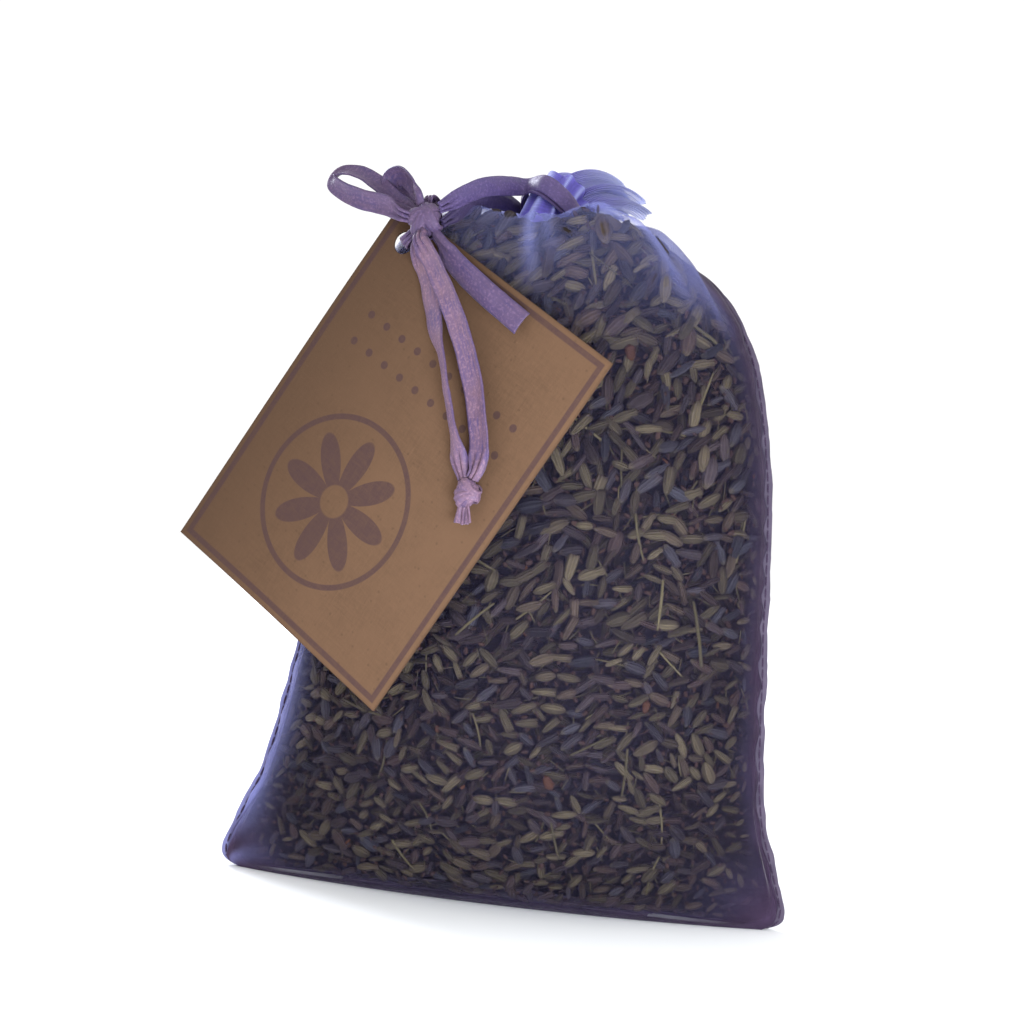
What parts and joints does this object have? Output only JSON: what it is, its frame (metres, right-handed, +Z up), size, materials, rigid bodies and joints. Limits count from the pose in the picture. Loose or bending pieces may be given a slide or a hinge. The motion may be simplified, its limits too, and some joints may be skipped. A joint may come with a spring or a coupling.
{
  "type": "lavender sachet",
  "caption": "Sheer organza drawstring pouch filled with dried lavender buds, gathered at the neck with a satin ribbon bow that carries a punched kraft card tag.",
  "frame": {"origin": "on the floor, under the middle of the bottom seam", "axes": "+Z up, +X to the right as seen from the front, the front faces -Y"},
  "size_m": [0.1058, 0.0596, 0.1244],
  "materials": {
    "organza": "sheer violet organza, soft sheen",
    "frill": "sheer violet organza in several layers",
    "seam": "stitched double organza",
    "lavender": "dried buds, matte",
    "ribbon": "mauve satin",
    "card": "kraft card, matte"
  },
  "bodies": {
    "bag": {"front_panel": "organza", "back_panel": "organza", "left_side_seam": "seam", "right_side_seam": "seam", "bottom_seam": "seam", "lavender_fill": "lavender", "gathered_neck": "frill", "front_frill": "frill", "back_frill": "frill", "neck_wrap": "ribbon", "upper_strand": "ribbon", "lower_strand": "ribbon"},
    "bow": {"bow_knot": "ribbon", "bow_loop": "ribbon", "small_loop": "ribbon", "tag_loop": "ribbon", "cut_tail": "ribbon", "knotted_tail_left": "ribbon", "knotted_tail_right": "ribbon", "tail_end_knot": "ribbon"},
    "tag": {"paper_tag": "card"}
  },
  "joints": [
    {"name": "bow_lift", "type": "hinge", "parent": "bag", "child": "bow", "pos_m": [-0.0131, -0.01536, 0.11291], "axis": [-0.9521, 0.3057, 0], "range_deg": [0, 60]},
    {"name": "tag_swing", "type": "hinge", "parent": "bow", "child": "tag", "pos_m": [-0.0206, -0.01025, 0.1088], "axis": [-0.3018, -0.9399, 0.1599], "range_deg": [-35, 12]}
  ]
}
